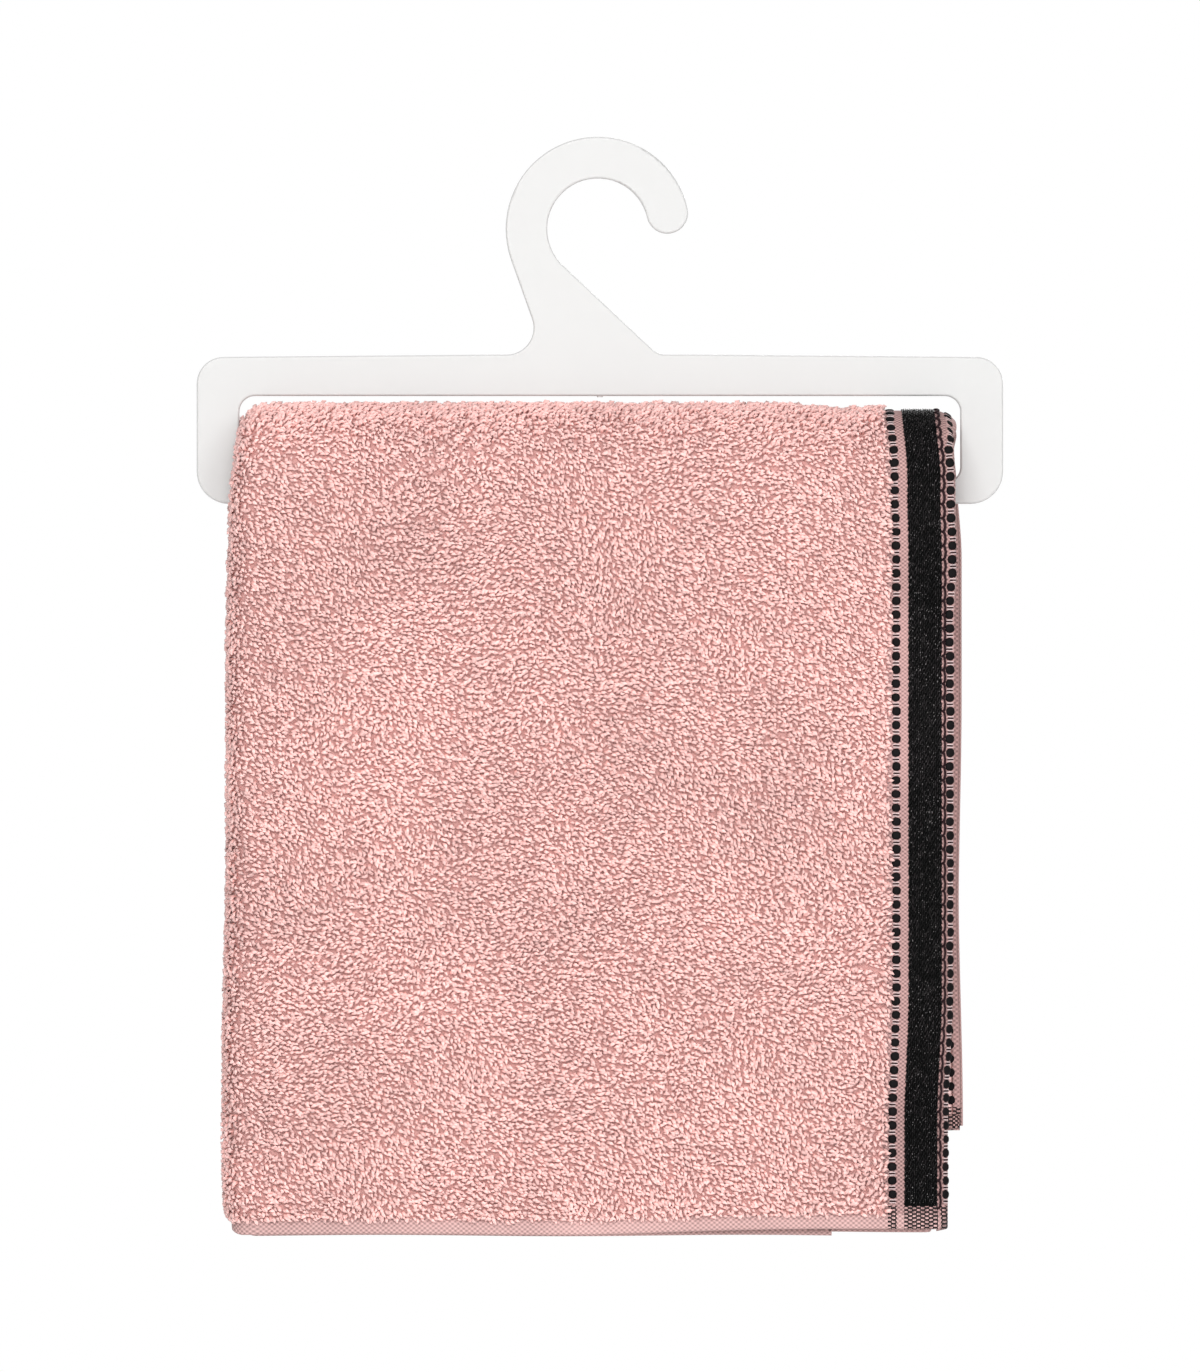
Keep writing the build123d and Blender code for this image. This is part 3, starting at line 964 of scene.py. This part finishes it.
def place_row(name, shape, s, height, side, out, material, size=None, slant=0.0, wobble=0.0, seed=1):
    """Sets one shape at every length s and height of one side. slant leans it off the upright, and
    a negative out sets it on the inner face."""
    s, height, slant = np.broadcast_arrays(np.asarray(s, float), np.asarray(height, float), slant)
    s, height, slant = s.ravel(), height.ravel(), slant.ravel()
    v = height_to_v(height, side)
    points = drape_points(s, v, side, np.full(s.shape, out))
    outward = face_normal(s, v, side) * np.sign(out)
    up = np.stack(drape(s, np.minimum(v + 0.002, 2), side), -1)
    up = up - np.stack(drape(s, np.minimum(v, 2) - 0.002, side), -1)
    up = up / np.linalg.norm(up, axis=1, keepdims=True) * -side
    right = np.cross(up, outward)
    up = up + right * np.tan(slant)[:, None]
    mesh = bpy.data.meshes.new(name)
    mesh.from_pydata(points.tolist(), [], [])
    sizes = np.ones((len(s), 3)) if size is None else np.broadcast_to(size, (len(s), 3))
    for label, values in (("out", outward), ("up", up), ("size", sizes)):
        layer = mesh.attributes.new(label, "FLOAT_VECTOR", "POINT")
        layer.data.foreach_set("vector", np.ascontiguousarray(values, np.float32).ravel())
    obj = bpy.data.objects.new(name, mesh)
    bpy.context.scene.collection.objects.link(obj)
    run_tree(obj, ROW_TREE, Shape=shape, Wobble=wobble, Seed=seed, Material=material)
    return obj


# %% [markdown]
# The strokes themselves: a bead is a low cushion with rounded corners, a float is half a grain of
# rice, and an arc is a thin yarn that leaves the stripe and comes back to it one bead further on.

# %% Shapes of the border


def bead_shape():
    """A cushion, rounder at its corners than a square and flatter than a ball."""
    rings = [(0.0, 0.72), (0.45, 0.66), (0.8, 0.45), (1.0, -0.1)]
    sides = 14
    points, uv = [(0, 0, 0.72 * MM)], [(0, 0)]
    for share, height in rings[1:]:
        for k in range(sides):
            turn = 2 * math.pi * k / sides
            square = (abs(math.cos(turn)) ** 2.7 + abs(math.sin(turn)) ** 2.7) ** (-1 / 2.7)
            radius = share * square * BEAD / 2
            points.append((radius * math.cos(turn), radius * math.sin(turn) * 0.97, height * MM))
            uv.append((radius * math.cos(turn) / MM / 3, radius * math.sin(turn) / MM / 3))
    faces = [(0, 1 + k, 1 + (k + 1) % sides) for k in range(sides)]
    for ring in range(len(rings) - 2):
        a, b = 1 + ring * sides, 1 + (ring + 1) * sides
        faces += [(a + k, b + k, b + (k + 1) % sides, a + (k + 1) % sides) for k in range(sides)]
    return make_object("bead_shape", points, faces, uv)


def half_grain(name, length, width, height, segments=4):
    """A float of yarn: a half tube along Y that tapers at both ends."""
    arc = np.linspace(0, math.pi, 4)
    points, uv = [], []
    for t in np.linspace(-1, 1, segments + 1):
        swell = math.sqrt(max(1 - abs(t) ** 3, 0)) * 0.85 + 0.15
        for a in arc:
            points.append((-math.cos(a) * width / 2 * swell, t * length / 2,
                           math.sin(a) * height * swell - 0.1 * MM))
            uv.append((a / math.pi / 2, (t + 1) / 2))
    return make_object(name, points, grid_faces(segments + 1, len(arc), flip=False), uv)


def arc_shape(length, bulge):
    turns = np.linspace(0, math.pi, 9)
    path = [(bulge * math.sin(t) ** 0.75, -length / 2 * math.cos(t), 0.35 * MM * math.sin(t) + 0.3 * MM)
            for t in turns]
    return tube("arc_shape", path, np.full(9, 0.52 * MM), 5)


def dash_shape(name, width, radius):
    return tube(name, [(-width / 2, 0, -0.1 * MM), (-width / 4, 0, 0.12 * MM), (width / 4, 0, 0.12 * MM),
                       (width / 2, 0, -0.1 * MM)], np.full(4, radius), 6)


BEAD_PITCH = 6.0 * MM
FLOAT_COLUMNS = 18
shapes = {
    "bead": bead_shape(),
    "float": half_grain("float_shape", 2.7 * MM, 0.66 * MM, 0.62 * MM),
    "arc": arc_shape(BEAD_PITCH * 1.04, 1.35 * MM),
    "dark_dash": dash_shape("dark_dash_shape", 2.6 * MM, 0.27 * MM),
    "pale_dash": dash_shape("pale_dash_shape", 2.7 * MM, 0.21 * MM),
}
print({name: triangles(shape) for name, shape in shapes.items()})

# %% Border yarns
FACE = GROUND_FACE + 0.15 * MM
FLOAT_STEP = 2.5 * MM
OUTER_OPENING = 2.5 * MM  # how far the outer beads move out where the towel's end turns back


def satin_base(side):
    """The dark body under the floats, a low cushion as wide as the stripe."""
    share = np.linspace(-1, 1, 15)
    lengths = STRIPE_START + (share + 1) / 2 * (STRIPE_END - STRIPE_START)
    out = GROUND_FACE + 0.45 * MM * np.sqrt(np.maximum(1 - share ** 6, 0))
    heights = heights_up(CHECK_HEIGHT / straight_height[side], 70, 14)
    obj = cloth_patch(f"satin_base_{SIDE_NAMES[side]}", lengths, heights, side, out)
    obj.data.materials.append(black_satin)
    return obj


def border_yarns(side):
    rng = np.random.default_rng(7 + side)
    count = int((half_height[side] - CHECK_HEIGHT - 3 * MM) / BEAD_PITCH) + 1
    beads = half_height[side] - 3 * MM - BEAD_PITCH * np.arange(count)
    beads = beads[beads > CHECK_HEIGHT + 1.5 * MM]
    gaps = beads - BEAD_PITCH / 2
    made = [satin_base(side)]

    def row(label, shape, s, height, material, out=FACE, **more):
        made.append(place_row(f"{label}_{SIDE_NAMES[side]}", shapes[shape], s, height, side, out,
                              material, **more))

    open_up = ease(height_to_v(beads, side), 0.8, 0.95)
    for label, column in (("outer", COLUMN_OUTER - OUTER_OPENING * open_up), ("inner", COLUMN_INNER)):
        place = column + rng.normal(0, 0.10 * MM, len(beads))
        sizes = 1 + rng.normal(0, 0.035, (len(beads), 3))
        row(f"beads_{label}", "bead", place, beads, black_yarn, size=sizes, wobble=0.12)
        if side == BACK and label == "outer":
            low_beads = beads < straight_height[side]
            row("beads_reverse", "bead", place[low_beads], beads[low_beads], black_yarn, out=-FACE,
                wobble=0.12)
        row(f"dashes_{label}", "dark_dash", place, gaps, maroon_yarn, wobble=0.05)
        pale = np.concatenate([gaps - 0.62 * MM, gaps + 0.62 * MM])
        row(f"pale_dashes_{label}", "pale_dash", np.tile(place, 2), pale, pale_yarn, wobble=0.05)
    widths = np.stack([1 + 0.2 * open_up, np.ones(len(gaps)), np.ones(len(gaps))], axis=1)
    row("edge_arcs", "arc", STRIPE_START + 0.1 * MM, gaps, maroon_yarn, size=widths, wobble=0.04)

    rows = np.arange(CHECK_HEIGHT + 1 * MM, half_height[side] - 0.5 * MM, FLOAT_STEP)
    column = np.arange(FLOAT_COLUMNS)
    across = (column + 0.5) / FLOAT_COLUMNS
    place = STRIPE_START + across * (STRIPE_END - STRIPE_START)
    offset = (column * 0.37 % 1) * FLOAT_STEP
    heights = rows[:, None] + offset[None, :] + rng.normal(0, 0.2 * MM, (len(rows), FLOAT_COLUMNS))
    heights = np.minimum(heights, half_height[side] - 0.3 * MM)
    slant = np.where(column % 3 == 0, -0.06, 0.2)[None, :] + rng.normal(0, 0.06, heights.shape)
    sizes = np.ones((heights.size, 3))
    sizes[:, 1] = 1 + rng.normal(0, 0.12, heights.size)
    thin_at_edges = 1 - 0.35 * np.abs(across * 2 - 1) ** 4
    sizes[:, 2] = np.tile(thin_at_edges, len(rows)) * (1 + rng.normal(0, 0.15, heights.size))
    row("satin_floats", "float", np.broadcast_to(place, heights.shape), heights, satin_yarn,
        out=GROUND_FACE + 0.40 * MM, size=sizes, slant=slant, wobble=0.04)
    return made


for side in (FRONT, BACK):
    trim[side] += border_yarns(side)
    print(SIDE_NAMES[side], "trim:", sum(triangles(obj) for obj in trim[side]), "triangles")
for shape in list(shapes.values()) + [loop_template]:
    bpy.data.objects.remove(shape)

# %% [markdown]
# ## Hanger
# The hanger stays the CAD mesh. It only gets its plastic: a pale, slightly milky white with a soft
# gloss and the faint waviness of a moulded sheet.

# %% Hanger plastic


def hanger_plastic():
    made = Material("hanger_plastic_pp", 0.38)
    made.constants({"IOR": 1.49, "Subsurface Weight": 0.25, "Subsurface Scale": 1.0,
                    "Subsurface Radius": (0.004, 0.004, 0.004)})
    made.dye(HANGER_WHITE, 0.02)
    place = made.add("ShaderNodeTexCoord").outputs["Object"]
    waves = made.add("ShaderNodeTexNoise", {"Vector": place, "Scale": 90.0})
    made.bump(waves.outputs["Fac"], 0.15 * MM, 0.4)
    return made.material


hanger = frame["nodes"]["hanger_frame"]
hanger.data.materials.clear()
hanger.data.materials.append(hanger_plastic())
print("hanger:", triangles(hanger), "triangles")

# %% [markdown]
# ## The cloth in place of the frame's leaves
# Every piece of cloth has its transform baked into its points, and the frame's front, back and crown
# parts that the cloth stands for are hidden.

# %% Cloth in place of the frame's leaves
SLOTS = {"terry": "terry", "towel": "terry",
         "side": "hem_weave", "turned": "hem_weave", "free": "hem_weave"}

for side in (FRONT, BACK):
    name = SIDE_NAMES[side]
    for obj in [ground[side]] + pile[side] + trim[side]:
        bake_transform(obj)
        SLOTS.get(obj.name.split("_")[0], "border_weave")
    nodes = [node for node in frame["nodes"] if node.startswith(name)]
    if side == FRONT:
        nodes += [node for node in frame["nodes"] if node.startswith("crown")]
    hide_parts(*nodes)
total = sum(triangles(obj) for obj in bpy.data.objects if obj.type == "MESH")
print("triangles in all:", total)

# %% [markdown]
# ## Studio
# The camera looks level from far away. The surroundings are white, with a little less light from the
# sides so that rounded edges read. Four large soft lights do the rest: the key from the upper left,
# one from in front, a fill from the right, and one behind.

# %% Camera, light and floor
VIEW_HEIGHT = 0.5914
VIEW_CENTRE = (0.00095, -0.197)
CAMERA_DISTANCE = 6.0
SENSOR = 24.0
LIGHT_SIZE = 1.2
LIGHT_TARGET = Vector((0, 0, -0.25))
LIGHTS = (("key", (-0.7, -2.6, 0.9), 44), ("front", (0.1, -3.0, -0.1), 24),
          ("fill", (1.5, -2.4, 0.3), 26), ("behind", (0.6, 2.8, 0.6), 30))
FLOOR_HEIGHT, FLOOR_RADIUS, FLOOR_SIDES = -0.62, 1.2, 96


def make_camera():
    data = bpy.data.cameras.new("camera")
    data.sensor_fit = "VERTICAL"
    data.sensor_height = SENSOR
    data.lens = SENSOR * CAMERA_DISTANCE / VIEW_HEIGHT
    data.clip_end = 50
    camera = bpy.data.objects.new("camera", data)
    camera.location = (VIEW_CENTRE[0], -CAMERA_DISTANCE, VIEW_CENTRE[1])
    camera.rotation_euler = (math.pi / 2, 0, 0)
    bpy.context.scene.collection.objects.link(camera)
    bpy.context.scene.camera = camera


def area_light(name, place, power):
    data = bpy.data.lights.new(name, "AREA")
    data.size = LIGHT_SIZE
    data.energy = power
    light = bpy.data.objects.new(name, data)
    light.location = place
    light.rotation_euler = (LIGHT_TARGET - Vector(place)).to_track_quat("-Z", "Y").to_euler()
    bpy.context.scene.collection.objects.link(light)


def studio_world():
    """Even white, darker towards the sides and brighter above. The camera itself sees plain white."""
    world = bpy.data.worlds.new("studio")
    world.use_nodes = True
    sky = Nodes(world.node_tree)
    toward = sky.split(sky.add("ShaderNodeTexCoord").outputs["Generated"])
    sides = sky.maths("MULTIPLY", sky.maths("ABSOLUTE", toward["X"]), -0.15)
    top = sky.maths("MULTIPLY", sky.maths("MAXIMUM", toward["Z"], 0.0), 0.2)
    level = sky.maths("ADD", sky.maths("ADD", sides, 0.62), top)
    seen = sky.add("ShaderNodeLightPath").outputs["Is Camera Ray"]
    background = world.node_tree.nodes["Background"].inputs
    sky.feed(background["Color"], WHITE)
    sky.feed(background["Strength"], sky.maths("MAXIMUM", level, seen))
    bpy.context.scene.world = world


make_camera()
studio_world()
for light in LIGHTS:
    area_light(*light)
bpy.context.scene.view_settings.view_transform = "Standard"
floor_points = [(math.cos(turn) * FLOOR_RADIUS, math.sin(turn) * FLOOR_RADIUS, FLOOR_HEIGHT)
                for turn in np.linspace(0, 2 * math.pi, FLOOR_SIDES, endpoint=False)]
floor = make_object("floor", floor_points, [list(range(FLOOR_SIDES))], smooth=False)
floor_paper = Material("floor_paper", 0.8)
floor_paper.constants({"Base Color": (0.93, 0.93, 0.93, 1)})
floor.data.materials.append(floor_paper.material)
